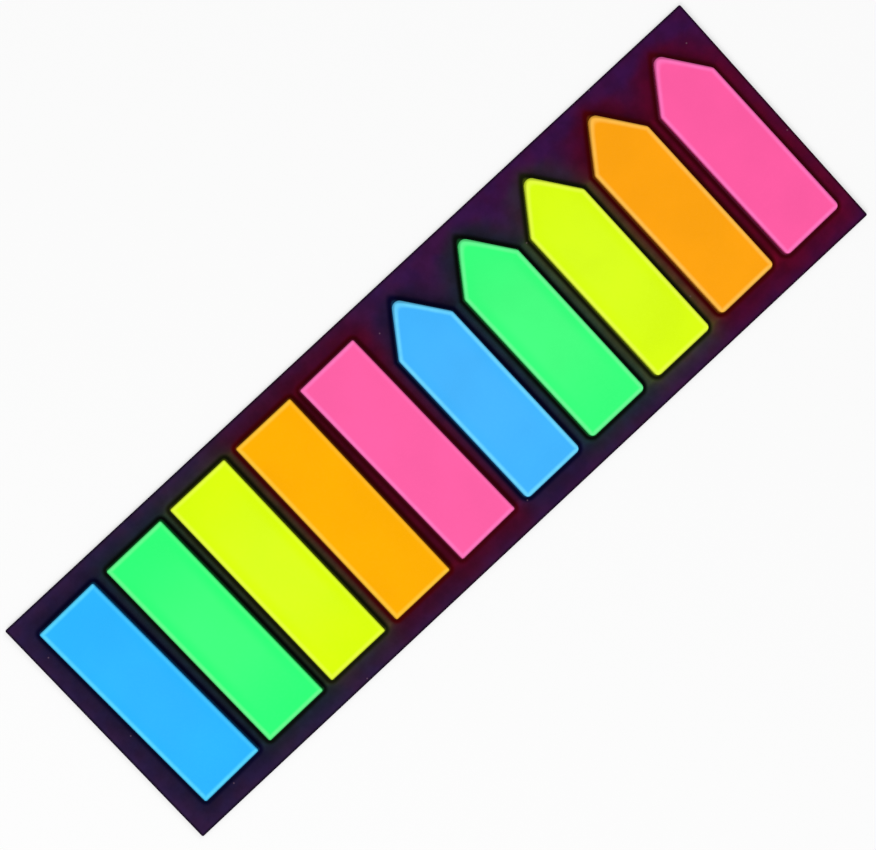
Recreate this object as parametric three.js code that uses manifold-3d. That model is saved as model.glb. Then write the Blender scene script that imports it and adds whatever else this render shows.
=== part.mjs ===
// Sticky index tabs: ten pads of die-cut film tabs laid in one row on a dark coated card.
// Five pads have square ends and five have arrow ends, in the same five fluorescent colours.
// Millimetres, +Z up. The origin is the middle of the card's underside, +X runs along the row
// from the square-ended pads to the arrow-ended ones, and +Y points where the arrows point.

import * as THREE from 'three';
import { mergeVertices } from 'three/addons/utils/BufferGeometryUtils.js';
import Module from 'manifold-3d';

// The tabs. A pad is a block of thin film tabs, each with its own coat of low-tack adhesive.
const TAB_WIDTH = 12;
const TAB_LENGTH = 38.4;
const SHEET_THICKNESS = 0.055;
const SHEETS_IN_PAD = 20;

// The cutting die: nearly sharp corners on the square tabs, softer ones on the arrow tabs.
const SQUARE_CORNER_RADIUS = 0.35;
const ARROW_POINT_DEGREES = 71.5;
const ARROW_TIP_RADIUS = 1.2;
const ARROW_SHOULDER_RADIUS = 1.3;
const ARROW_FOOT_RADIUS = 0.9;

// The finger end of every tab has no adhesive, so the block thins out towards its foot.
const DRY_END_LENGTH = 12;
const DRY_SHEET_LOSS = 0.004;

// The row, and the strip of bare card that is left round it.
const PAD_GAP = 2.5;
const CARD_MARGIN_START = 4.25;
const CARD_MARGIN_END = 3.25;
const CARD_MARGIN_HEAD = 3.9;
const CARD_MARGIN_FOOT = 4.3;

// The card: guillotined sheet with a coated face, its cut edges very slightly crushed.
const CARD_THICKNESS = 0.5;
const CARD_CORNER_RADIUS = 0.3;
const CARD_ARRIS = 0.05;

const ARC_SEGMENTS = 8;
const CUTTER_CLEARANCE = 1;

// Every pad was stuck down by hand, so each has a small shift and turn of its own. right and up
// are millimetres along +X and +Y, and turn is in degrees, anticlockwise seen from above.
const SQUARE_PADS = [
  { colour: 'blue', right: -0.15, up: -0.2, turn: 1.1 },
  { colour: 'green', right: -0.05, up: -0.15, turn: 0.4 },
  { colour: 'yellow', right: -0.4, up: 0.1, turn: 0.1 },
  { colour: 'orange', right: -0.4, up: 0.1, turn: 0.1 },
  { colour: 'pink', right: -0.6, up: 0.05, turn: 1 },
];
const ARROW_PADS = [
  { colour: 'blue', right: -0.3, up: -0.05, turn: 0.3 },
  { colour: 'green', right: -0.15, up: 0, turn: 0.2 },
  { colour: 'yellow', right: 0.05, up: -0.05, turn: 0.2 },
  { colour: 'orange', right: 0.3, up: 0.3, turn: 0.4 },
  { colour: 'pink', right: 0.3, up: 0, turn: 0.6 },
];

const FILM_COLOURS = {
  blue: 0x36b6fd,
  green: 0x3cfe7e,
  yellow: 0xdbfe1a,
  orange: 0xfea90c,
  pink: 0xfe5fa6,
};
const CARD_COLOUR = 0x381842;

// What follows from the sizes above.
const PAD_COUNT = SQUARE_PADS.length + ARROW_PADS.length;
const PAD_PITCH = TAB_WIDTH + PAD_GAP;
const PAD_HEIGHT = SHEET_THICKNESS * SHEETS_IN_PAD;
const DRY_END_DROP = DRY_SHEET_LOSS * SHEETS_IN_PAD;
const ROW_LENGTH = PAD_PITCH * (PAD_COUNT - 1) + TAB_WIDTH;
const CARD_LENGTH = CARD_MARGIN_START + ROW_LENGTH + CARD_MARGIN_END;
const CARD_WIDTH = CARD_MARGIN_FOOT + TAB_LENGTH + CARD_MARGIN_HEAD;
const FIRST_PAD_X = -CARD_LENGTH / 2 + CARD_MARGIN_START + TAB_WIDTH / 2;
const ROW_Y = -CARD_WIDTH / 2 + CARD_MARGIN_FOOT + TAB_LENGTH / 2;

const wasm = await Module();
wasm.setup();

// A closed outline through the corners, each rounded by its own radius with a true arc.
// The corners run anticlockwise.
function roundedOutline(corners) {
  const shape = new THREE.Shape();
  corners.forEach(({ x, y, radius }, i) => {
    const corner = new THREE.Vector2(x, y);
    const before = corners[(i + corners.length - 1) % corners.length];
    const after = corners[(i + 1) % corners.length];
    const back = new THREE.Vector2(before.x - x, before.y - y).normalize();
    const ahead = new THREE.Vector2(after.x - x, after.y - y).normalize();
    const halfAngle = Math.acos(back.dot(ahead)) / 2;
    const toTangent = radius / Math.tan(halfAngle);
    const toCentre = radius / Math.sin(halfAngle);
    const centre = back.clone().add(ahead).normalize().multiplyScalar(toCentre).add(corner);
    const start = back.multiplyScalar(toTangent).add(corner).sub(centre);
    const end = ahead.multiplyScalar(toTangent).add(corner).sub(centre);
    shape.absarc(centre.x, centre.y, radius, start.angle(), end.angle(), false);
  });
  shape.closePath();
  return shape;
}

// A square-ended tab, centred on its own middle.
function squareTabOutline() {
  const x = TAB_WIDTH / 2;
  const y = TAB_LENGTH / 2;
  const radius = SQUARE_CORNER_RADIUS;
  return roundedOutline([
    { x: -x, y: -y, radius },
    { x, y: -y, radius },
    { x, y, radius },
    { x: -x, y, radius },
  ]);
}

// An arrow-ended tab of the same length. The rounding takes a little off the sharp point, so
// the point is drawn that much higher.
function arrowTabOutline() {
  const x = TAB_WIDTH / 2;
  const y = TAB_LENGTH / 2;
  const halfPoint = THREE.MathUtils.degToRad(ARROW_POINT_DEGREES / 2);
  const lostAtTip = ARROW_TIP_RADIUS * (1 / Math.sin(halfPoint) - 1);
  const sharpTip = y + lostAtTip;
  const shoulder = sharpTip - x / Math.tan(halfPoint);
  return roundedOutline([
    { x: -x, y: -y, radius: ARROW_FOOT_RADIUS },
    { x, y: -y, radius: ARROW_FOOT_RADIUS },
    { x, y: shoulder, radius: ARROW_SHOULDER_RADIUS },
    { x: 0, y: sharpTip, radius: ARROW_TIP_RADIUS },
    { x: -x, y: shoulder, radius: ARROW_SHOULDER_RADIUS },
  ]);
}

function extrude(shape, depth) {
  return new THREE.ExtrudeGeometry(shape, {
    depth,
    bevelEnabled: false,
    curveSegments: ARC_SEGMENTS,
  });
}

function toSolid(geometry) {
  const bare = geometry.clone();
  bare.deleteAttribute('normal');
  bare.deleteAttribute('uv');
  const welded = mergeVertices(bare);
  return new wasm.Manifold(new wasm.Mesh({
    numProp: 3,
    vertProperties: new Float32Array(welded.attributes.position.array),
    triVerts: new Uint32Array(welded.index.array),
  }));
}

function toGeometry(solid) {
  const mesh = solid.getMesh();
  const geometry = new THREE.BufferGeometry();
  geometry.setAttribute('position', new THREE.BufferAttribute(mesh.vertProperties, 3));
  geometry.setIndex(new THREE.BufferAttribute(mesh.triVerts, 1));
  geometry.computeVertexNormals();
  return geometry;
}

// The side profile of a pad, full height over the adhesive and thinner towards the dry foot.
// It is drawn as a Y-Z section and swept across the tab's width.
function padSideProfile() {
  const head = TAB_LENGTH / 2 + CUTTER_CLEARANCE;
  const foot = -TAB_LENGTH / 2;
  const section = new THREE.Shape([
    new THREE.Vector2(foot - CUTTER_CLEARANCE, 0),
    new THREE.Vector2(head, 0),
    new THREE.Vector2(head, PAD_HEIGHT),
    new THREE.Vector2(foot + DRY_END_LENGTH, PAD_HEIGHT),
    new THREE.Vector2(foot, PAD_HEIGHT - DRY_END_DROP),
    new THREE.Vector2(foot - CUTTER_CLEARANCE, PAD_HEIGHT - DRY_END_DROP),
  ]);
  const across = TAB_WIDTH + 2 * CUTTER_CLEARANCE;
  const sweep = extrude(section, across);
  sweep.applyMatrix4(new THREE.Matrix4().makeBasis(
    new THREE.Vector3(0, 1, 0),
    new THREE.Vector3(0, 0, 1),
    new THREE.Vector3(1, 0, 0),
  ));
  sweep.translate(-across / 2, 0, 0);
  return sweep;
}

// A block of tabs cut through in one stroke, so that all of its sheets share one outline.
function padGeometry(outline) {
  const block = toSolid(extrude(outline, PAD_HEIGHT));
  const profile = toSolid(padSideProfile());
  return toGeometry(block.intersect(profile));
}

function makePad(kind, geometry, index, { colour, right, up, turn }) {
  const film = new THREE.MeshStandardMaterial({
    color: FILM_COLOURS[colour],
    roughness: 0.45,
    metalness: 0,
  });
  const pad = new THREE.Mesh(geometry, film);
  pad.name = `${kind}_pad_${colour}`;
  pad.position.set(FIRST_PAD_X + index * PAD_PITCH + right, ROW_Y + up, CARD_THICKNESS);
  pad.rotation.z = THREE.MathUtils.degToRad(turn);
  return pad;
}

function makeBackingCard() {
  const x = CARD_LENGTH / 2;
  const y = CARD_WIDTH / 2;
  const radius = CARD_CORNER_RADIUS;
  const outline = roundedOutline([
    { x: -x, y: -y, radius },
    { x, y: -y, radius },
    { x, y, radius },
    { x: -x, y, radius },
  ]);
  const geometry = new THREE.ExtrudeGeometry(outline, {
    depth: CARD_THICKNESS - 2 * CARD_ARRIS,
    bevelEnabled: true,
    bevelThickness: CARD_ARRIS,
    bevelSize: CARD_ARRIS,
    bevelOffset: -CARD_ARRIS,
    bevelSegments: 2,
    curveSegments: ARC_SEGMENTS,
  });
  geometry.translate(0, 0, CARD_ARRIS);
  const coatedStock = new THREE.MeshStandardMaterial({
    color: CARD_COLOUR,
    roughness: 0.5,
    metalness: 0,
  });
  const card = new THREE.Mesh(geometry, coatedStock);
  card.name = 'backing_card';
  return card;
}

const indexTabs = new THREE.Group();
indexTabs.add(makeBackingCard());

const squareGeometry = padGeometry(squareTabOutline());
SQUARE_PADS.forEach((laid, i) => {
  indexTabs.add(makePad('rect', squareGeometry, i, laid));
});

const arrowGeometry = padGeometry(arrowTabOutline());
ARROW_PADS.forEach((laid, i) => {
  indexTabs.add(makePad('arrow', arrowGeometry, SQUARE_PADS.length + i, laid));
});

export default indexTabs;
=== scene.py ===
# %% [markdown]
# Dressing a card of sticky index tabs
#
# A pack of index tabs is a flat dark card with ten small pads stuck on it in one row. Five
# pads have square ends and five have arrow ends, in the same five fluorescent colours. Every
# pad is a block of thin plastic tabs that were cut through together.
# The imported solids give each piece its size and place. This script only adds what they
# lack: the single tabs in every pad, their cut edges, and the finish of film and card.

import math
from collections import namedtuple

import bmesh
import bpy
from mathutils import Matrix, Vector


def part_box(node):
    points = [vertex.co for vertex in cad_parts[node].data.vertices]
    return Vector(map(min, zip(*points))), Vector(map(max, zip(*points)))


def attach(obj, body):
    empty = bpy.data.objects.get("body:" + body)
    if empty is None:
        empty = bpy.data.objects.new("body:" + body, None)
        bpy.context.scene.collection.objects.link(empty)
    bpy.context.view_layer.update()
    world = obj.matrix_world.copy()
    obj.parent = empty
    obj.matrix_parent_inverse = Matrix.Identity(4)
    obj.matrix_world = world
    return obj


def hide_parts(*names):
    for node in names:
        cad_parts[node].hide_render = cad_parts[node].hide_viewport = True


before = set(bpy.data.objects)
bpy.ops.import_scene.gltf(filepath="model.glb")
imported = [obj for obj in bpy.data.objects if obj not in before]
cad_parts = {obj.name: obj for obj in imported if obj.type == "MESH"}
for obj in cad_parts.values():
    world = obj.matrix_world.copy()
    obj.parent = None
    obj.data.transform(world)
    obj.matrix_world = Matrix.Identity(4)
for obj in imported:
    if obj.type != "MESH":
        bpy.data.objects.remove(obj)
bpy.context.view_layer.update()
MM = 0.001
COLOURS = ("blue", "green", "yellow", "orange", "pink")
print("solids:", ", ".join(sorted(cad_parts)))

# %% [markdown]
# Where each pad lies
#
# The pads were stuck down by hand, so each one is turned and shifted a little. Those small
# errors could be typed in again here, but then the tabs could drift from their solids.
# Instead they are read off each solid: its largest upright face is a long side of the pad,
# which gives the turn, and once the pad is turned back its box gives the middle and the size.
# A face counts as upright where its normal hardly rises.

# %% Read the lie of each pad
UPRIGHT = 0.01
Lie = namedtuple("Lie", "kind colour x y turn width length low high")


def lie_of(kind, colour):
    """Where one pad lies, how it is turned and how large it is, read off its solid."""
    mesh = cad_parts[f"{kind}_pad_{colour}"].data
    upright = [face for face in mesh.polygons if abs(face.normal.z) < UPRIGHT]
    side = max(upright, key=lambda face: face.area)
    turn = math.atan(side.normal.y / side.normal.x)
    back = Matrix.Rotation(-turn, 3, "Z")
    points = [back @ vertex.co for vertex in mesh.vertices]
    lows = [min(p[axis] for p in points) for axis in range(3)]
    highs = [max(p[axis] for p in points) for axis in range(3)]
    middle = Vector([(a + b) / 2 for a, b in zip(lows, highs)])
    middle.rotate(Matrix.Rotation(turn, 3, "Z"))
    width, length = highs[0] - lows[0], highs[1] - lows[1]
    return Lie(kind, colour, middle.x, middle.y, turn, width, length, lows[2], highs[2])


pads = [lie_of(kind, colour) for kind in ("rect", "arrow") for colour in COLOURS]
for pad in pads:
    print(f"{pad.kind} {pad.colour}: x {pad.x / MM:.2f} mm, y {pad.y / MM:.2f} mm,"
          f" turn {math.degrees(pad.turn):.2f} degrees,"
          f" {pad.width / MM:.2f} by {pad.length / MM:.2f} mm")

# %% [markdown]
# The outline of a tab
#
# A steel-rule die cuts the tabs, so their corners are small true arcs: nearly sharp on the
# square tabs, softer at the tip, shoulders and foot of the arrow tabs. A bevel modifier
# could round them, but it would round all corners alike. Here every corner has its own
# radius, and one function turns any list of corners into an outline.

# %% Draw the outlines
SQUARE_CORNER_RADIUS = 0.35 * MM
ARROW_POINT = math.radians(71.5)
ARROW_TIP_RADIUS = 1.2 * MM
ARROW_SHOULDER_RADIUS = 1.3 * MM
ARROW_FOOT_RADIUS = 0.9 * MM
ARC_STEPS = 8


def rounded(corners):
    """Points anticlockwise round the corners (x, y, radius), each one rounded by an arc."""
    points = []
    for i, (x, y, radius) in enumerate(corners):
        corner = Vector((x, y))
        back = (Vector(corners[i - 1][:2]) - corner).normalized()
        ahead = (Vector(corners[(i + 1) % len(corners)][:2]) - corner).normalized()
        half_angle = back.angle(ahead) / 2
        centre = corner + (back + ahead).normalized() * radius / math.sin(half_angle)
        start = corner + back * radius / math.tan(half_angle) - centre
        sweep = math.pi - 2 * half_angle
        for step in range(ARC_STEPS + 1):
            points.append(centre + Matrix.Rotation(sweep * step / ARC_STEPS, 2) @ start)
    return points


def sharp_tip(length):
    """How high the arrow's sides would meet, before the tip is rounded off."""
    return length / 2 + ARROW_TIP_RADIUS * (1 / math.sin(ARROW_POINT / 2) - 1)


def tab_outline(kind, width, length):
    x, y = width / 2, length / 2
    if kind == "rect":
        return rounded([(sx * x, sy * y, SQUARE_CORNER_RADIUS)
                        for sx, sy in ((-1, -1), (1, -1), (1, 1), (-1, 1))])
    tip = sharp_tip(length)
    shoulder = tip - x / math.tan(ARROW_POINT / 2)
    return rounded([(-x, -y, ARROW_FOOT_RADIUS), (x, -y, ARROW_FOOT_RADIUS),
                    (x, shoulder, ARROW_SHOULDER_RADIUS), (0, tip, ARROW_TIP_RADIUS),
                    (-x, shoulder, ARROW_SHOULDER_RADIUS)])


for pad in (pads[0], pads[-1]):
    outline = tab_outline(pad.kind, pad.width, pad.length)
    print(f"the outline of {pad.kind} tabs has {len(outline)} points")

# %% [markdown]
# One tab
#
# A tab is a sheet of film about 0.055 mm thick with its adhesive. It could be a plain
# extrusion, but the die pinches the film where it cuts, and that tiny slope is what
# separates one tab from the next when the block is seen from the side. So the wall is built
# as four rings: two at the full outline, and one above and one below them that are drawn in
# a little. A few cuts across the foot let the sheet bend there later.

# %% Build one tab
SHEETS_IN_PAD = 20
PINCH = 0.012 * MM
DRY_END_LENGTH = 12 * MM
BENDS = 6


def drawn_in(outline, distance):
    """The outline moved inwards, along the mean of the two sides that meet at a point."""
    moved = []
    for i, point in enumerate(outline):
        before = point - outline[i - 1]
        after = outline[(i + 1) % len(outline)] - point
        along = (before.normalized() + after.normalized()).normalized()
        moved.append(point + Vector((-along.y, along.x)) * distance)
    return moved


def tab_object(kind, width, length, thickness):
    """One tab as an object of its own, lying on the origin."""
    outline = tab_outline(kind, width, length)
    inner = drawn_in(outline, PINCH)
    levels = ((inner, 0), (outline, PINCH), (outline, thickness - PINCH), (inner, thickness))
    bm = bmesh.new()
    rings = [[bm.verts.new((p.x, p.y, z)) for p in ring] for ring, z in levels]
    for low, high in zip(rings, rings[1:]):
        for i in range(len(outline)):
            j = (i + 1) % len(outline)
            bm.faces.new((low[i], low[j], high[j], high[i]))
    bm.faces.new(rings[0][::-1])
    bm.faces.new(rings[-1])
    for bend in range(1, BENDS + 1):
        across = Vector((0, -length / 2 + DRY_END_LENGTH * bend / BENDS, 0))
        everything = bm.verts[:] + bm.edges[:] + bm.faces[:]
        bmesh.ops.bisect_plane(bm, geom=everything, plane_co=across, plane_no=(0, 1, 0))
    mesh = bpy.data.meshes.new(f"{kind}_tab")
    bm.to_mesh(mesh)
    bm.free()
    tab = bpy.data.objects.new(f"{kind}_tab", mesh)
    bpy.context.scene.collection.objects.link(tab)
    return tab


print(f"{SHEETS_IN_PAD} tabs in a pad, each pinched by {PINCH / MM:.3f} mm at the cut")

# %% [markdown]
# Small helpers for node trees
#
# Both the pads and the finishes are node trees. These helpers make a node, feed its sockets
# with numbers or with other nodes, and give back its output, so that the trees below read
# like formulas. A Mix node has one set of sockets for each kind of value, so the two colours
# and their result are found by number.

# %% Node helpers
MIX_A, MIX_B, MIX_RESULT = 6, 7, 2


def feed(tree, socket, value):
    """Link a socket to another node's output, or set it to a plain value."""
    if isinstance(value, bpy.types.NodeSocket):
        tree.links.new(value, socket)
    elif value is not None:
        socket.default_value = value


def node(tree, kind, inputs=(), **settings):
    """A new node with its settings made and its sockets fed. inputs is {socket: value}."""
    made = tree.nodes.new(kind)
    for name, value in settings.items():
        setattr(made, name, value)
    for key, value in dict(inputs).items():
        feed(tree, made.inputs[key], value)
    return made


def calc(tree, operation, *values, clamp=False):
    """The result of one sum on numbers or sockets."""
    return node(tree, "ShaderNodeMath", enumerate(values), operation=operation,
                use_clamp=clamp).outputs[0]


def ramp(tree, value, low, high, to_low=0.0, to_high=1.0):
    """value between low and high, eased smoothly from to_low to to_high."""
    inputs = {"Value": value, "From Min": low, "From Max": high,
              "To Min": to_low, "To Max": to_high}
    return node(tree, "ShaderNodeMapRange", inputs,
                interpolation_type="SMOOTHSTEP").outputs["Result"]


def blend(tree, share, a, b, mode="MIX"):
    """Colour a turned into colour b by share, or combined with it by another mode."""
    mix = node(tree, "ShaderNodeMix", {"Factor": share}, data_type="RGBA", blend_type=mode)
    feed(tree, mix.inputs[MIX_A], a)
    feed(tree, mix.inputs[MIX_B], b)
    return mix.outputs[MIX_RESULT]


def split(tree, vector):
    """The x, y and z of a vector."""
    return node(tree, "ShaderNodeSeparateXYZ", {0: vector}).outputs


def scaled(tree, vector, factor):
    return node(tree, "ShaderNodeVectorMath", {0: vector, "Scale": factor},
                operation="SCALE").outputs[0]


def added(tree, a, b):
    return node(tree, "ShaderNodeVectorMath", {0: a, 1: b}, operation="ADD").outputs[0]


def fading(tree, distance, reach):
    """1 at no distance, falling off exponentially."""
    return calc(tree, "EXPONENT", calc(tree, "DIVIDE", distance, -reach))


def colour(red, green, blue):
    """A colour as it looks on a screen, 0 to 255, turned into the linear one of nodes."""
    linear = [(c / 255 / 12.92) if c <= 10 else ((c / 255 + 0.055) / 1.055) ** 2.4
              for c in (red, green, blue)]
    return (*linear, 1.0)


print("half grey on a screen is", round(colour(128, 128, 128)[0], 3), "in nodes")

# %% [markdown]
# A block of tabs
#
# Twenty equal tabs lie on each other, so this is work for Geometry Nodes: one tab is
# instanced along a short upright line, each copy with its own tiny slip and twist, because
# a block never stays perfectly square once fingers have been at it. The same tree makes
# every pad, and only its inputs differ.

# %% Lay the tabs on each other
STACK_INPUTS = (
    ("Sheets", "NodeSocketInt"),
    ("Sheet Thickness", "NodeSocketFloat"),
    ("Slip", "NodeSocketFloat"),
    ("Twist", "NodeSocketFloat"),
    ("Seed", "NodeSocketInt"),
    ("Foot", "NodeSocketFloat"),
    ("Dry Length", "NodeSocketFloat"),
    ("Dry Loss", "NodeSocketFloat"),
    ("Film", "NodeSocketMaterial"),
    ("Cut Edge", "NodeSocketMaterial"),
)


def laid_tabs(tree, given):
    """The copies of the tab, one on the other, each with its own slip and twist."""
    rise = node(tree, "ShaderNodeCombineXYZ", {"Z": given["Sheet Thickness"]}).outputs[0]
    line = node(tree, "GeometryNodeMeshLine", {"Count": given["Sheets"], "Offset": rise},
                mode="OFFSET").outputs["Mesh"]
    slip, twist, seed = given["Slip"], given["Twist"], given["Seed"]
    far = node(tree, "ShaderNodeCombineXYZ", {"X": slip, "Y": slip}).outputs[0]
    shift = node(tree, "FunctionNodeRandomValue",
                 {0: scaled(tree, far, -1.0), 1: far, "Seed": seed}, data_type="FLOAT_VECTOR")
    turn = node(tree, "FunctionNodeRandomValue",
                {2: calc(tree, "MULTIPLY", twist, -1.0), 3: twist, "Seed": seed},
                data_type="FLOAT")
    slipped = node(tree, "GeometryNodeSetPosition",
                   {"Geometry": line, "Offset": shift.outputs[0]})
    about_z = node(tree, "ShaderNodeCombineXYZ", {"Z": turn.outputs[1]})
    copies = node(tree, "GeometryNodeInstanceOnPoints",
                  {"Points": slipped.outputs[0], "Instance": given["Tab"],
                   "Rotation": about_z.outputs[0]})
    return node(tree, "GeometryNodeRealizeInstances",
                {"Geometry": copies.outputs[0]}).outputs[0]


print("inputs besides the tab:", ", ".join(name for name, _ in STACK_INPUTS))

# %% [markdown]
# The finger end of every tab has no adhesive, so the block is a little thinner there, and
# the tabs bend down to it, the upper ones more than the lower ones. Every point past the
# start of the dry end is lowered by a share of its own height. Then the faces get the film
# and whatever stands up gets the finish of the cut edge.

# %% Bend the foot and give the materials
CUT_EDGE_TILT = 0.8


def bent_at_foot(tree, given, tabs):
    """The block bent down over its dry end."""
    position = node(tree, "GeometryNodeInputPosition").outputs[0]
    place = split(tree, position)
    dry_start = calc(tree, "ADD", given["Foot"], given["Dry Length"])
    past = calc(tree, "DIVIDE", calc(tree, "SUBTRACT", dry_start, place["Y"]),
                given["Dry Length"], clamp=True)
    bend = calc(tree, "MULTIPLY", calc(tree, "POWER", past, 2.0), given["Dry Loss"])
    drop = calc(tree, "MULTIPLY", calc(tree, "MULTIPLY", bend, place["Z"]), -1.0)
    fall = node(tree, "ShaderNodeCombineXYZ", {"Z": drop}).outputs[0]
    return node(tree, "GeometryNodeSetPosition",
                {"Geometry": tabs, "Offset": fall}).outputs[0]


def film_and_edge(tree, given, tabs):
    """The block with film on its flat faces and the cut edge's finish on its walls."""
    normal = node(tree, "GeometryNodeInputNormal").outputs["Normal"]
    up = calc(tree, "ABSOLUTE", split(tree, normal)["Z"])
    is_edge = calc(tree, "LESS_THAN", up, CUT_EDGE_TILT)
    filmed = node(tree, "GeometryNodeSetMaterial",
                  {"Geometry": tabs, "Material": given["Film"]}).outputs[0]
    return node(tree, "GeometryNodeSetMaterial",
                {"Geometry": filmed, "Selection": is_edge,
                 "Material": given["Cut Edge"]}).outputs[0]


def stack_tree():
    tree = bpy.data.node_groups.new("Block of tabs", "GeometryNodeTree")
    new_socket = tree.interface.new_socket
    new_socket("Tab", in_out="INPUT", socket_type="NodeSocketGeometry")
    for name, kind in STACK_INPUTS:
        new_socket(name, in_out="INPUT", socket_type=kind)
    new_socket("Block", in_out="OUTPUT", socket_type="NodeSocketGeometry")
    given = node(tree, "NodeGroupInput").outputs
    bent = bent_at_foot(tree, given, laid_tabs(tree, given))
    node(tree, "NodeGroupOutput", {"Block": film_and_edge(tree, given, bent)})
    return tree


block_of_tabs = stack_tree()
socket_of = {item.name: item.identifier for item in block_of_tabs.interface.items_tree
             if item.in_out == "INPUT"}
print("nodes in the tree:", len(block_of_tabs.nodes))

# %% [markdown]
# How far in from the cut edge
#
# Two finishes need to know how far a point lies from a tab's outline: the film, which
# catches light in a narrow rim just inside its cut edge, and the card, which is shaded and
# tinted round each pad. A texture could be painted for that, but a formula stays sharp at
# any size. A point is taken into the pad's own frame by a Mapping node, and then its
# distances to the left, right, foot and head sides are plain sums. The head of an arrow tab
# is one more straight side on each half. Folding the point over the middle line makes both
# halves one, and a soft fold, which never quite reaches the line, rounds the tip as well.
# Shoulder is the distance in from where the two long sides end, Nearest is the least of the
# four, and Away is how far a point lies outside the whole outline. Away is measured from an
# outline drawn in by the corner radius, less that radius, so its corners are round as well.
# Along runs from -1 at the foot to 1 at the head.

# %% Distances from the sides of a tab
SIDE_NAMES = ("Left", "Right", "Foot", "Head", "Shoulder", "Nearest", "Away", "Along")


def outside(tree, distance_in):
    """How far a point lies outside a side, and nothing once it is inside."""
    return calc(tree, "MAXIMUM", calc(tree, "MULTIPLY", distance_in, -1.0), 0.0)


def hypotenuse(tree, a, b):
    squares = calc(tree, "MULTIPLY_ADD", a, a, calc(tree, "MULTIPLY", b, b))
    return calc(tree, "SQRT", squares)


def side_distances(kind, width, length):
    """A node group that gives the distance in from each side, positive inside."""
    tree = bpy.data.node_groups.new(f"Sides of {kind} tabs", "ShaderNodeTree")
    tree.interface.new_socket("Point", in_out="INPUT", socket_type="NodeSocketVector")
    for name in SIDE_NAMES:
        tree.interface.new_socket(name, in_out="OUTPUT", socket_type="NodeSocketFloat")
    x, y, _ = split(tree, node(tree, "NodeGroupInput").outputs[0])
    left = calc(tree, "ADD", x, width / 2)
    right = calc(tree, "SUBTRACT", width / 2, x)
    foot = calc(tree, "ADD", y, length / 2)
    head = shoulder = calc(tree, "SUBTRACT", length / 2, y)
    flank = calc(tree, "MINIMUM", left, right)
    ends, radius = calc(tree, "MINIMUM", foot, head), SQUARE_CORNER_RADIUS
    if kind == "arrow":
        half_point = ARROW_POINT / 2
        below_tip = calc(tree, "SUBTRACT", sharp_tip(length), y)
        fold = (sharp_tip(length) - length / 2) * math.tan(half_point)
        down = calc(tree, "MULTIPLY", below_tip, math.sin(half_point))
        out = calc(tree, "MULTIPLY", hypotenuse(tree, x, fold), math.cos(half_point))
        head = calc(tree, "SUBTRACT", down, out)
        shoulder = calc(tree, "SUBTRACT", below_tip, width / 2 / math.tan(half_point))
        flank, ends, radius = calc(tree, "MINIMUM", flank, head), foot, ARROW_FOOT_RADIUS
    nearest = calc(tree, "MINIMUM", flank, ends)
    past_flank, past_end = (outside(tree, calc(tree, "SUBTRACT", inner, radius))
                            for inner in (flank, ends))
    away = calc(tree, "SUBTRACT", hypotenuse(tree, past_flank, past_end), radius)
    along = calc(tree, "DIVIDE", y, length / 2)
    found = (left, right, foot, head, shoulder, nearest, away, along)
    node(tree, "NodeGroupOutput", dict(zip(SIDE_NAMES, found)))
    return tree


inside_tab = {pad.kind: side_distances(pad.kind, pad.width, pad.length)
              for pad in pads if pad.colour == COLOURS[0]}


def sides_of(tree, point, pad):
    """The group's outputs for one pad, in metres."""
    own = node(tree, "ShaderNodeMapping",
               {"Vector": point, "Location": (pad.x, pad.y, 0), "Rotation": (0, 0, pad.turn)},
               vector_type="TEXTURE")
    return node(tree, "ShaderNodeGroup", {"Point": own.outputs[0]},
                node_tree=inside_tab[pad.kind]).outputs


print("node groups:", ", ".join(group.name for group in inside_tab.values()))

# %% [markdown]
# Fluorescent film
#
# The tabs are dyed plastic film with a satin face. The dye is so strong that the face looks
# nearly flat, but a few things keep it from being one colour. The broad middle is a touch
# paler than the ends and the sides, a painted sheen. A pale rim along the cuts is a painted
# highlight, stronger on some sides than on others, and the last third of a millimetre is
# darker again. Each pad has a face colour, a rim colour for the painted highlight, an edge
# colour that is partly painted shade, and the share of white in its painted sheen.

# %% Colours of the film
# Face, painted highlight on the rim, edge partly painted shade, and white share of the painted
# sheen.
Film = namedtuple("Film", "face rim edge pale_middle")
FILMS = {
    "rect_blue": Film(colour(44, 180, 253), colour(88, 213, 251), colour(18, 116, 196), 0.004),
    "rect_green": Film(colour(48, 253, 120), colour(104, 248, 143), colour(16, 172, 70), 0.022),
    "rect_yellow": Film(colour(218, 253, 12), colour(231, 253, 62), colour(150, 172, 8), 0.009),
    "rect_orange": Film(colour(253, 174, 0), colour(255, 198, 58), colour(184, 104, 4), 0.0),
    "rect_pink": Film(colour(253, 97, 166), colour(255, 121, 191), colour(186, 44, 100), 0.0),
    "arrow_blue": Film(colour(66, 180, 253), colour(110, 216, 253), colour(22, 114, 194), 0.008),
    "arrow_green": Film(colour(56, 253, 123), colour(108, 249, 150), colour(18, 172, 70), 0.022),
    "arrow_yellow": Film(colour(217, 253, 18), colour(233, 253, 70), colour(150, 172, 8), 0.006),
    "arrow_orange": Film(colour(253, 163, 14), colour(255, 193, 80), colour(184, 98, 6), 0.0),
    "arrow_pink": Film(colour(253, 92, 163), colour(255, 119, 192), colour(184, 42, 98), 0.0),
}
print("films:", ", ".join(FILMS))

# %% [markdown]
# Every finish starts from the same shader and reads the same point, and most of them need
# some unevenness. Noise stays near its middle value, so it is spread out before it is used.

# %% Helpers for finishes
NOISE_LOW, NOISE_HIGH = 0.3, 0.7


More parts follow.
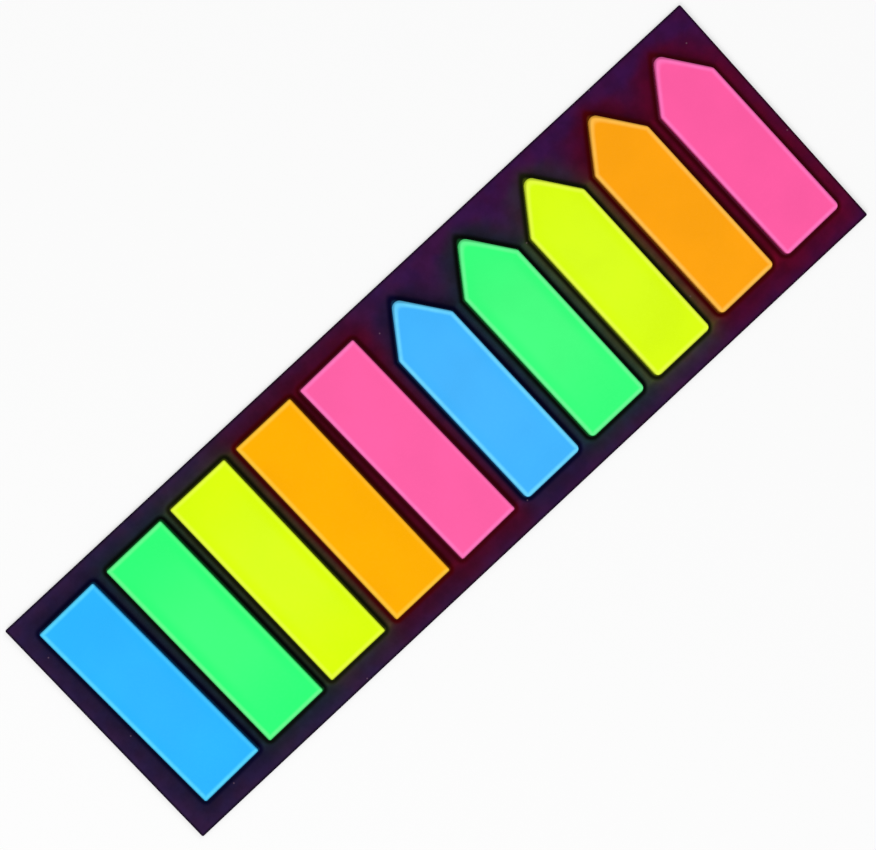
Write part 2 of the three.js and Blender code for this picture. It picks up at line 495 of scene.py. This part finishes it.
def new_material(name):
    material = bpy.data.materials.new(name)
    material.use_nodes = True
    tree = material.node_tree
    tree.nodes.clear()
    shader = node(tree, "ShaderNodeBsdfPrincipled")
    node(tree, "ShaderNodeOutputMaterial", {"Surface": shader.outputs[0]})
    point = node(tree, "ShaderNodeTexCoord").outputs["Object"]
    return material, tree, shader, point


def noise(tree, point, scale, detail, roughness=0.5):
    inputs = {"Vector": point, "Scale": scale, "Detail": detail, "Roughness": roughness}
    return node(tree, "ShaderNodeTexNoise", inputs).outputs["Fac"]


def spread(tree, pattern, to_low=0.0, to_high=1.0):
    """A noise pattern spread out to run from to_low to to_high."""
    return ramp(tree, pattern, NOISE_LOW, NOISE_HIGH, to_low, to_high)


def clouded(tree, face, pattern, depth):
    """A colour made darker or lighter by up to depth, as the pattern is low or high."""
    return scaled(tree, face, spread(tree, pattern, 1.0 - depth, 1.0 + depth))


def add_bump(tree, shader, height, depth, strength):
    bump = node(tree, "ShaderNodeBump",
                {"Height": height, "Distance": depth, "Strength": strength})
    feed(tree, shader.inputs["Normal"], bump.outputs[0])


print("noise from", NOISE_LOW, "to", NOISE_HIGH, "counts as the whole pattern")

# %% [markdown]
# The face of the film is worked out from the pad's own distances, so that its rim follows
# the outline however a pad is turned. The surface has the faint waves and the fine grain of
# rolled film. It is satin, so its gloss is low and it mirrors little.

# %% Face of the film
# The paler middle is a painted sheen and the pale rim a painted highlight.
PAINTED_SHEEN_FULL, PAINTED_SHEEN_END = 0.15, 0.95
RIM_HIGHLIGHT_FULL = 0.4 * MM
RIM_HIGHLIGHT_END = 0.95 * MM
RIM_HIGHLIGHT_SHARES = {
    "rect": {"Left": 0.95, "Foot": 1.0, "Right": 0.35, "Head": 0.95},
    "arrow": {"Left": 0.95, "Foot": 1.0, "Right": 0.85, "Head": 0.85},
}
RIM_HIGHLIGHT_PATTERN_SCALE = 900.0
RIM_HIGHLIGHT_LEAST = 0.8
DARKENED_EDGE_WIDTH = 0.33 * MM
DARKENED_EDGE_LEVEL = 0.52
CLOUD_SCALE = 90.0
CLOUDING = 0.025
GRAIN_SCALE = 1400.0
WAVE_SCALE = 160.0
GRAIN_IN_WAVES = 0.25
WAVE_DEPTH, WAVE_STRENGTH = 0.01 * MM, 0.5
FILM_ROUGHNESS = (0.19, 0.31)
FILM_SPECULAR = 0.06


def film_material(pad):
    film = FILMS[f"{pad.kind}_{pad.colour}"]
    material, tree, shader, point = new_material(f"{pad.kind} film {pad.colour}")
    sides = sides_of(tree, point, pad)
    from_middle = calc(tree, "ABSOLUTE", sides["Along"])
    # Painted sheen: the middle is mixed a little towards white.
    middle = calc(tree, "MULTIPLY", ramp(tree, sides["Nearest"], RIM_HIGHLIGHT_END, 3 * RIM_HIGHLIGHT_END),
                  ramp(tree, from_middle, PAINTED_SHEEN_FULL, PAINTED_SHEEN_END, film.pale_middle, 0.0))
    face = blend(tree, middle, film.face, (1, 1, 1, 1))
    face = clouded(tree, face, noise(tree, point, CLOUD_SCALE, 3.0), CLOUDING)
    # Painted highlight: a pale rim just inside the cut, stronger on some sides.
    rim = 0.0
    for side, share in RIM_HIGHLIGHT_SHARES[pad.kind].items():
        glow = ramp(tree, sides[side], RIM_HIGHLIGHT_FULL, RIM_HIGHLIGHT_END, share, 0.0)
        rim = calc(tree, "MAXIMUM", rim, glow)
    uneven = spread(tree, noise(tree, point, RIM_HIGHLIGHT_PATTERN_SCALE, 2.0), RIM_HIGHLIGHT_LEAST, 1.0)
    face = blend(tree, calc(tree, "MULTIPLY", rim, uneven), face, film.rim)
    darkened = ramp(tree, sides["Nearest"], 0.0, DARKENED_EDGE_WIDTH, DARKENED_EDGE_LEVEL, 1.0)
    feed(tree, shader.inputs["Base Color"], scaled(tree, face, darkened))
    grain = noise(tree, point, GRAIN_SCALE, 3.0)
    feed(tree, shader.inputs["Roughness"], spread(tree, grain, *FILM_ROUGHNESS))
    shader.inputs["Specular IOR Level"].default_value = FILM_SPECULAR
    waves = calc(tree, "ADD", calc(tree, "MULTIPLY", grain, GRAIN_IN_WAVES),
                 noise(tree, point, WAVE_SCALE, 1.0))
    add_bump(tree, shader, waves, WAVE_DEPTH, WAVE_STRENGTH)
    return material


print(f"pale rim out to {RIM_HIGHLIGHT_END / MM:.2f} mm, crushed edge {DARKENED_EDGE_WIDTH / MM:.2f} mm")

# %% [markdown]
# Seen from the side, a block shows its cut edges. They are deeper in colour, partly because
# the dye is seen edge on and partly as painted shade, and matt and streaked along the
# sheets. A noise squeezed in height gives such streaks. Little light gets down to the foot of
# the wall, so it darkens there as painted shade.

# %% Cut edges of the block
STREAK_SCALE = 1600.0
STREAK_SQUEEZE = (1.0, 1.0, 12.0)
STREAK_DEPTH = 0.15
STREAK_BUMP, STREAK_STRENGTH = 0.008 * MM, 0.6
EDGE_ROUGHNESS = (0.5, 0.65)
WALL_FOOT_LEVEL = 0.12


def edge_material(pad):
    film = FILMS[f"{pad.kind}_{pad.colour}"]
    material, tree, shader, point = new_material(f"{pad.kind} cut edge {pad.colour}")
    squeezed = node(tree, "ShaderNodeMapping", {"Vector": point, "Scale": STREAK_SQUEEZE},
                    vector_type="POINT").outputs[0]
    streaks = spread(tree, noise(tree, squeezed, STREAK_SCALE, 2.0))
    # The edge colour is partly painted shade, and the wall darkens towards its foot as painted
    # shade.
    wall = clouded(tree, film.edge[:3], streaks, STREAK_DEPTH)
    height = split(tree, point)["Z"]
    lit = ramp(tree, height, pad.low, pad.high, WALL_FOOT_LEVEL, 1.0)
    feed(tree, shader.inputs["Base Color"], scaled(tree, wall, lit))
    feed(tree, shader.inputs["Roughness"], ramp(tree, streaks, 0.0, 1.0, *EDGE_ROUGHNESS))
    shader.inputs["Specular IOR Level"].default_value = FILM_SPECULAR
    add_bump(tree, shader, streaks, STREAK_BUMP, STREAK_STRENGTH)
    return material


print("streaks squeezed", STREAK_SQUEEZE[2], "times in height")

# %% [markdown]
# Stack the ten pads
#
# Now every pad gets its block. The modifier's inputs are set by their identifiers, the
# result is taken as a plain mesh, and only then is it turned and moved onto its solid, so
# that the finished object itself stays at the origin.

# %% Make the pads
SLIP = 0.02 * MM
TWIST = math.radians(0.04)
DRY_LOSS = 0.073


def stacked_mesh(pad, seed):
    """The block of one pad as a plain mesh that stands on the origin, unturned."""
    thickness = (pad.high - pad.low) / SHEETS_IN_PAD
    tab = tab_object(pad.kind, pad.width - 2 * SLIP, pad.length - 2 * SLIP, thickness)
    stack = tab.modifiers.new("Block", "NODES")
    stack.node_group = block_of_tabs
    film, edge = film_material(pad), edge_material(pad)
    tab.data.materials.append(film)
    values = {"Sheets": SHEETS_IN_PAD, "Sheet Thickness": thickness, "Slip": SLIP,
              "Twist": TWIST, "Seed": seed, "Foot": -pad.length / 2,
              "Dry Length": DRY_END_LENGTH, "Dry Loss": DRY_LOSS,
              "Film": film, "Cut Edge": edge}
    for name, value in values.items():
        stack[socket_of[name]] = value
    evaluated = tab.evaluated_get(bpy.context.evaluated_depsgraph_get())
    mesh = bpy.data.meshes.new_from_object(evaluated)
    bpy.data.objects.remove(tab)
    return mesh


def make_pad(pad, seed):
    mesh = stacked_mesh(pad, seed)
    mesh.name = f"{pad.kind}_tabs_{pad.colour}"
    place = Matrix.Translation((pad.x, pad.y, pad.low))
    mesh.transform(place @ Matrix.Rotation(pad.turn, 4, "Z"))
    block = bpy.data.objects.new(mesh.name, mesh)
    bpy.context.scene.collection.objects.link(block)
    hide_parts(f"{pad.kind}_pad_{pad.colour}")
    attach(block, "root")
    return block


for number, pad in enumerate(pads):
    block = make_pad(pad, seed=number + 1)
    print(f"{block.name}: {len(block.data.polygons)} faces,"
          f" materials {[m.name for m in block.data.materials]}")

# %% [markdown]
# Painted light and shade on the card
#
# The card is dyed dark aubergine and coated. Strong light goes through and off the
# fluorescent pads onto it, and the narrow gaps lie in shade, so near each pad that coloured
# light and shade is painted into the card's colour. It is a weighted mean: every pad pulls
# the card towards its own painted light and shade, more the nearer its outline is, and
# the bare card pulls with a fixed weight. The point of an arrow throws little colour past
# itself, and all the painted light grows stronger towards the arrow-ended side, where more
# light falls. In the gaps the long cut edges on both sides also cast some painted glow of
# their own.

# %% Paint the pads' light and shade onto the card
CARD_LEFT = colour(48, 27, 66)
CARD_RIGHT = colour(56, 12, 62)
# Each pad's painted light and shade on the card: shade colour, pull, reach and cast glow colour.
Tint = namedtuple("Tint", "shade pull reach cast")
PAINTED_PAD_LIGHT = {
    "blue": Tint(colour(15, 21, 42), 1.0, 2.6 * MM, colour(17, 23, 52)),
    "green": Tint(colour(8, 36, 33), 1.1, 2.6 * MM, colour(6, 54, 34)),
    "yellow": Tint(colour(41, 37, 33), 1.1, 2.5 * MM, colour(66, 80, 0)),
    "orange": Tint(colour(65, 0, 6), 1.6, 2.8 * MM, colour(66, 4, 6)),
    "pink": Tint(colour(69, 0, 20), 2.1, 2.7 * MM, colour(68, 0, 16)),
}
BARE_WEIGHT = 0.55
PAINTED_LIGHT_GAIN_TO_RIGHT = 0.42
PAINTED_GAP_GLOW = 1.2
PAINTED_GAP_GLOW_REACH = 1.0 * MM
LOSS_BEYOND_ENDS = 2.0


def pull_of(tree, pad, sides, pad_light):
    """How strongly a pad pulls the card at a point towards its painted light and shade."""
    reached = calc(tree, "MAXIMUM", sides["Away"], 0.0)
    if pad.kind == "arrow":
        past_tip = calc(tree, "SUBTRACT", sides["Along"], 1.0)
        past_tip = calc(tree, "MAXIMUM", past_tip, 0.0)
        reached = calc(tree, "MULTIPLY_ADD", past_tip, pad.length / 2, reached)
    reached = calc(tree, "DIVIDE", reached, pad_light.reach)
    bell = fading(tree, calc(tree, "POWER", reached, 2.0), 1.0)
    return calc(tree, "MULTIPLY", pad_light.pull, bell)


def painted_gap_light(tree, sides):
    """How much painted glow from a pad's long cut edges falls on the card beside them."""
    aside = outside(tree, calc(tree, "MINIMUM", sides["Left"], sides["Right"]))
    beyond = outside(tree, calc(tree, "MINIMUM", sides["Foot"], sides["Shoulder"]))
    spent = calc(tree, "MULTIPLY_ADD", beyond, LOSS_BEYOND_ENDS, aside)
    return fading(tree, spent, PAINTED_GAP_GLOW_REACH)


def card_under_painted_light(tree, x, low, high, sides_by_pad):
    """The coated face under the painted light and shade of all pads, as one colour."""
    bare = blend(tree, ramp(tree, x, low.x, high.x), CARD_LEFT, CARD_RIGHT)
    gain = node(tree, "ShaderNodeMapRange",
                {"Value": x, "From Min": low.x, "From Max": high.x,
                 "To Min": 1.0 - PAINTED_LIGHT_GAIN_TO_RIGHT,
                 "To Max": 1.0 + PAINTED_LIGHT_GAIN_TO_RIGHT}).outputs[0]
    total, weights, glow = scaled(tree, bare, BARE_WEIGHT), BARE_WEIGHT, (0, 0, 0)
    for pad, sides in sides_by_pad:
        pad_light = PAINTED_PAD_LIGHT[pad.colour]
        weight = pull_of(tree, pad, sides, pad_light)
        strength = calc(tree, "MULTIPLY", weight, gain)
        total = added(tree, total, scaled(tree, pad_light.shade[:3], strength))
        weights = calc(tree, "ADD", weights, weight)
        # Painted glow from the pad's long cut edges in the gaps.
        lit = calc(tree, "MULTIPLY", painted_gap_light(tree, sides),
                   calc(tree, "MULTIPLY", gain, PAINTED_GAP_GLOW))
        glow = added(tree, glow, scaled(tree, pad_light.cast[:3], lit))
    return added(tree, scaled(tree, total, calc(tree, "DIVIDE", 1.0, weights)), glow)


print("tints on the card:", ", ".join(PAINTED_PAD_LIGHT))

# %% [markdown]
# Close round each pad runs a painted dark outline where little light gets in, and right at
# the pad's foot the glow of the cut edges is painted onto the card once more. The coating has
# a soft mottle, its hue wanders a little between blue and red, and it darkens towards the
# card's own edge. A few specks of dust lie on it.

# %% Coated face of the card
# Painted shade close round each pad, one colour for each film.
OUTLINE_SHADES = {
    "blue": colour(6, 4, 38),
    "green": colour(9, 13, 11),
    "yellow": colour(24, 25, 9),
    "orange": colour(68, 0, 3),
    "pink": colour(66, 0, 11),
}
OUTLINE_FULL = 0.5 * MM
OUTLINE_END = 1.2 * MM
FOOT_GLOW = 0.1
FOOT_GLOW_REACH = 0.35 * MM
CARD_RIM_WIDTH = 0.6 * MM
CARD_RIM_LEVEL = 0.22
MOTTLE_DEPTH = 0.14
HUE_SCALE = 260.0
HUE_LOW, HUE_HIGH = 0.35, 0.65
HUE_WANDER = 0.08
SPECK_SPACING = 15 * MM
SPECK_RADIUS = 0.2 * MM
SPECK_SHARE = 0.22
DUST = colour(190, 150, 170)


def mottled(tree, face, point, mottle):
    """The colour clouded by the mottle, with its hue wandering a little."""
    face = clouded(tree, face, mottle, MOTTLE_DEPTH)
    wander = ramp(tree, noise(tree, point, HUE_SCALE, 2.0), HUE_LOW, HUE_HIGH)
    bluer, redder = ((1 - s * HUE_WANDER, 1 + s * HUE_WANDER / 2, 1 + s * HUE_WANDER, 1)
                     for s in (1, -1))
    return blend(tree, 1.0, face, blend(tree, wander, bluer, redder), "MULTIPLY")


def outlined(tree, face, sides_by_pad):
    """The colour with the painted dark outline and the painted foot glow of every pad."""
    for pad, sides in sides_by_pad:
        dark = ramp(tree, sides["Away"], OUTLINE_FULL, OUTLINE_END, 1.0, 0.0)
        face = blend(tree, dark, face, OUTLINE_SHADES[pad.colour])
        glow = ramp(tree, sides["Away"], 0.0, FOOT_GLOW_REACH, FOOT_GLOW, 0.0)
        face = blend(tree, glow, face, FILMS[f"{pad.kind}_{pad.colour}"].face)
    return face


def dusted(tree, face, point):
    """The colour with a few specks of dust on it."""
    spots = node(tree, "ShaderNodeTexVoronoi", {"Vector": point, "Scale": 1 / SPECK_SPACING},
                 voronoi_dimensions="2D").outputs["Distance"]
    speck = ramp(tree, spots, 0.0, SPECK_RADIUS / SPECK_SPACING, SPECK_SHARE, 0.0)
    return blend(tree, speck, face, DUST)


def coated_face(tree, point, low, high, mottle):
    """The whole colour of the coated side, from the tints to the dust."""
    x, y, _ = split(tree, point)
    sides_by_pad = [(pad, sides_of(tree, point, pad)) for pad in pads]
    face = card_under_painted_light(tree, x, low, high, sides_by_pad)
    face = outlined(tree, mottled(tree, face, point, mottle), sides_by_pad)
    to_rim = calc(tree, "MINIMUM",
                  calc(tree, "SUBTRACT", high.x, calc(tree, "ABSOLUTE", x)),
                  calc(tree, "SUBTRACT", high.y, calc(tree, "ABSOLUTE", y)))
    rim = ramp(tree, to_rim, 0.0, CARD_RIM_WIDTH, CARD_RIM_LEVEL, 1.0)
    return dusted(tree, scaled(tree, face, rim), point)


print("outlines on the card:", ", ".join(OUTLINE_SHADES))

# %% [markdown]
# The card's solid already has the right shape, so it keeps its mesh and only gets a finish.
# All the above is on the coated face. The cut edge shows the fibres of the board, and the
# back is uncoated and dull, so one material goes from face to edge to back by height.

# %% Finish of the card
MOTTLE_SCALE = 350.0
FIBRE_SCALE = 2600.0
ARRIS = 0.03 * MM
CUT_BOARD = colour(44, 26, 50)
UNCOATED_BACK = colour(66, 48, 70)
FIBRE_DEPTH = 0.2
BOARD_MOTTLE_DEPTH = 0.1
BOARD_ROUGHNESS = 0.85
COAT_ROUGHNESS = (0.34, 0.46)
CARD_SPECULAR = 0.04
MOTTLE_IN_BUMP = 0.5
CARD_BUMP, CARD_BUMP_STRENGTH = 0.008 * MM, 0.5


def card_material():
    material, tree, shader, point = new_material("coated card")
    low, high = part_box("backing_card")
    mottle = noise(tree, point, MOTTLE_SCALE, detail=4.0, roughness=0.6)
    face = coated_face(tree, point, low, high, mottle)
    fibres = noise(tree, point, FIBRE_SCALE, 3.0)
    z = split(tree, point)["Z"]
    on_face = ramp(tree, z, high.z - 2 * ARRIS, high.z - ARRIS)
    on_back = ramp(tree, z, low.z + ARRIS, low.z + 2 * ARRIS, 1.0, 0.0)
    board = blend(tree, on_back, CUT_BOARD, UNCOATED_BACK)
    board = clouded(tree, board, fibres, FIBRE_DEPTH)
    board = clouded(tree, board, mottle, BOARD_MOTTLE_DEPTH)
    feed(tree, shader.inputs["Base Color"], blend(tree, on_face, board, face))
    coat = spread(tree, fibres, *COAT_ROUGHNESS)
    rough = node(tree, "ShaderNodeMapRange",
                 {"Value": on_face, "To Min": BOARD_ROUGHNESS, "To Max": coat})
    feed(tree, shader.inputs["Roughness"], rough.outputs[0])
    shader.inputs["Specular IOR Level"].default_value = CARD_SPECULAR
    relief = calc(tree, "ADD", fibres, calc(tree, "MULTIPLY", mottle, MOTTLE_IN_BUMP))
    add_bump(tree, shader, relief, CARD_BUMP, CARD_BUMP_STRENGTH)
    return material


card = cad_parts["backing_card"]
card.data.materials.clear()
card.data.materials.append(card_material())

# %% [markdown]
# Floor and sky
#
# The card lies on a plain white surface under broad, even light, a little stronger from the
# lower left. The world gives the even part. It is kept dim for reflections, because the flat
# film would mirror a bright sky straight at a camera above it and lose its deep colour. The
# floor is pale to the camera and still takes the card's shadow. Farther off, where no shadow
# can fall, it turns into the sky's own white, so that a low view has no hard horizon.

# %% Floor
FLOOR_SIZE = 6.0
FLOOR_DROP = 0.02 * MM
FLOOR_COLOUR = (0.96, 0.96, 0.96, 1)
FLOOR_ROUGHNESS = 0.9
PAPER_WHITE = colour(250, 250, 250)
FLOOR_GLOW = 0.6
SHADOW_REACH = 0.25
HORIZON_START = 0.6


def floor_material():
    material, tree, shader, point = new_material("white floor")
    feed(tree, shader.inputs["Base Color"], FLOOR_COLOUR)
    shader.inputs["Roughness"].default_value = FLOOR_ROUGHNESS
    shader.inputs["Specular IOR Level"].default_value = 0.0
    glow = node(tree, "ShaderNodeEmission", {"Color": PAPER_WHITE, "Strength": 1.0})
    away = node(tree, "ShaderNodeVectorMath", {0: point}, operation="LENGTH")
    paleness = ramp(tree, away.outputs["Value"], SHADOW_REACH, HORIZON_START, FLOOR_GLOW, 1.0)
    to_camera = node(tree, "ShaderNodeLightPath").outputs["Is Camera Ray"]
    mix = node(tree, "ShaderNodeMixShader", {0: calc(tree, "MULTIPLY", to_camera, paleness),
                                             1: shader.outputs[0], 2: glow.outputs[0]})
    output = next(n for n in tree.nodes if n.type == "OUTPUT_MATERIAL")
    feed(tree, output.inputs["Surface"], mix.outputs[0])
    return material


def make_floor():
    bm = bmesh.new()
    half = FLOOR_SIZE / 2
    bm.faces.new([bm.verts.new((sx * half, sy * half, -FLOOR_DROP))
                  for sx, sy in ((-1, -1), (1, -1), (1, 1), (-1, 1))])
    mesh = bpy.data.meshes.new("floor")
    bm.to_mesh(mesh)
    bm.free()
    mesh.materials.append(floor_material())
    floor = bpy.data.objects.new("floor", mesh)
    bpy.context.scene.collection.objects.link(floor)


make_floor()
print("floor", FLOOR_SIZE, "m wide, glow", FLOOR_GLOW)

# %% [markdown]
# The world has three strengths, chosen by the kind of ray that asks: the light that falls
# on the object, the dimmer sky that gloss mirrors, and the white that the camera sees.

# %% World
SKY_LIGHT = 0.5
SKY_IN_REFLECTIONS = 0.06
WHITE = (1, 1, 1, 1)


def make_world():
    world = bpy.data.worlds.new("soft sky")
    world.use_nodes = True
    tree = world.node_tree
    tree.nodes.clear()
    path = node(tree, "ShaderNodeLightPath").outputs
    lit, mirrored, seen = (
        node(tree, "ShaderNodeBackground", {"Color": shade, "Strength": strength}).outputs[0]
        for shade, strength in ((WHITE, SKY_LIGHT), (WHITE, SKY_IN_REFLECTIONS),
                                (PAPER_WHITE, 1.0)))
    dim = node(tree, "ShaderNodeMixShader", {0: path["Is Glossy Ray"], 1: lit, 2: mirrored})
    final = node(tree, "ShaderNodeMixShader",
                 {0: path["Is Camera Ray"], 1: dim.outputs[0], 2: seen})
    node(tree, "ShaderNodeOutputWorld", {"Surface": final.outputs[0]})
    bpy.context.scene.world = world


make_world()
print("sky", SKY_LIGHT, "and", SKY_IN_REFLECTIONS, "in reflections")

# %% [markdown]
# Lamps and camera
#
# Two broad lamps stand well to the side, so that neither is mirrored in the flat pads when
# they are seen from above. The key is at the lower left of the picture and gives the pads'
# near sides their brightness, and the weaker fill keeps the far sides from going dead.

# %% Lamps
Lamp = namedtuple("Lamp", "name azimuth elevation distance size watts")
LAMPS = (
    Lamp("key", 205.0, 36.0, 1.3, 0.8, 11.4),
    Lamp("fill", 20.0, 36.0, 1.3, 0.8, 5.0),
)


def make_lamp(lamp):
    data = bpy.data.lights.new(lamp.name, "AREA")
    data.shape = "DISK"
    data.size = lamp.size
    data.energy = lamp.watts
    azimuth, elevation = math.radians(lamp.azimuth), math.radians(lamp.elevation)
    away = Vector((math.cos(azimuth) * math.cos(elevation),
                   math.sin(azimuth) * math.cos(elevation), math.sin(elevation)))
    light = bpy.data.objects.new(lamp.name, data)
    light.location = away * lamp.distance
    light.rotation_mode = "QUATERNION"
    light.rotation_quaternion = away.to_track_quat("Z", "Y")
    bpy.context.scene.collection.objects.link(light)


for lamp in LAMPS:
    make_lamp(lamp)
    print(lamp.name, lamp.watts, "W at", lamp.distance, "m")

# %% [markdown]
# The camera looks almost straight down, and the card runs from the lower left to the upper
# right of the picture. Its place was worked out from the card's four corners, as a camera
# that sees a card of this size with those corners. It is fixed by three facts: where it
# stands, the point it looks at, and which way across the card is up in the picture.

# %% Camera
CAMERA_PLACE = Vector((-10.4, 26.1, 326.7)) * MM
LOOKS_AT = Vector((-0.94, -0.18, 0.5)) * MM
PICTURE_UP_AZIMUTH = math.radians(47.16)
LENS = 82.19
SENSOR = 36.0
SEES_FROM, SEES_TO = 0.01, 20.0


def make_camera():
    data = bpy.data.cameras.new("camera")
    data.lens = LENS
    data.sensor_width = SENSOR
    data.clip_start, data.clip_end = SEES_FROM, SEES_TO
    back = (CAMERA_PLACE - LOOKS_AT).normalized()
    up = Vector((math.cos(PICTURE_UP_AZIMUTH), math.sin(PICTURE_UP_AZIMUTH), 0))
    right = up.cross(back).normalized()
    up = back.cross(right)
    turned = Matrix((right, up, back)).transposed().to_4x4()
    camera = bpy.data.objects.new("camera", data)
    camera.matrix_world = Matrix.Translation(CAMERA_PLACE) @ turned
    bpy.context.scene.collection.objects.link(camera)
    bpy.context.scene.camera = camera


make_camera()
bpy.context.scene.view_settings.view_transform = "Standard"
print("camera", [round(c / MM, 1) for c in CAMERA_PLACE], "mm")
